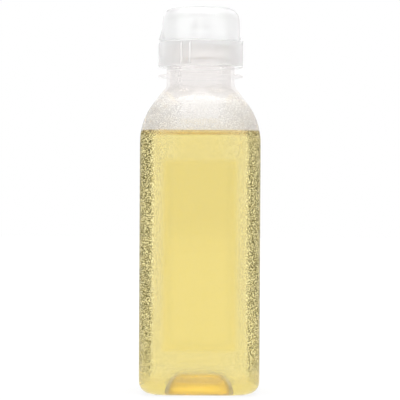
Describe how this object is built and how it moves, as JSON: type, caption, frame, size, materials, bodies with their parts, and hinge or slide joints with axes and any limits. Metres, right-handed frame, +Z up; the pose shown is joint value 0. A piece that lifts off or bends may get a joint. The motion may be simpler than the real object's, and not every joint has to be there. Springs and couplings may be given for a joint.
{
  "type": "oil dispenser bottle",
  "caption": "Square clear bottle of golden oil with pebbled grip walls, smooth label panels, and a clear screw cap with a pouring spout under a hinged flip lid.",
  "frame": {"origin": "on the surface the bottle stands on, under the middle of its square body", "axes": "+Z up along the neck's axis; the label panel faces -Y; the lid's hinge is at +X and its thumb tab at -X"},
  "size_m": [0.061, 0.061, 0.1971],
  "materials": {
    "bottle_clear": "clear blown plastic, glossy, pebbled on its corners and sides",
    "oil": "clear golden vegetable oil",
    "foam": "matte white foam",
    "cap_clear": "clear moulded plastic, slightly hazy, glossy"
  },
  "bodies": {
    "bottle": {"bottle": "bottle_clear", "oil": "oil"},
    "seal": {"seal_ring": "foam"},
    "cap": {"cap_base": "cap_clear"},
    "lid": {"flip_lid": "cap_clear"}
  },
  "joints": [
    {"name": "cap_rise", "type": "slide", "parent": "bottle", "child": "seal", "axis": [0, 0, 1], "range_m": [0, 0.0053]},
    {"name": "cap_turn", "type": "hinge", "parent": "seal", "child": "cap", "pos_m": [0, 0, 0.17831], "axis": [0, 0, 1], "range_deg": [0, 450]},
    {"name": "lid_open", "type": "hinge", "parent": "cap", "child": "lid", "pos_m": [0.0218, 0, 0.17976], "axis": [0, 1, 0], "range_deg": [0, 150]}
  ],
  "couplings": [
    {"joint": "cap_rise", "follows": "cap_turn", "m_per_rad": 0.00067322}
  ]
}
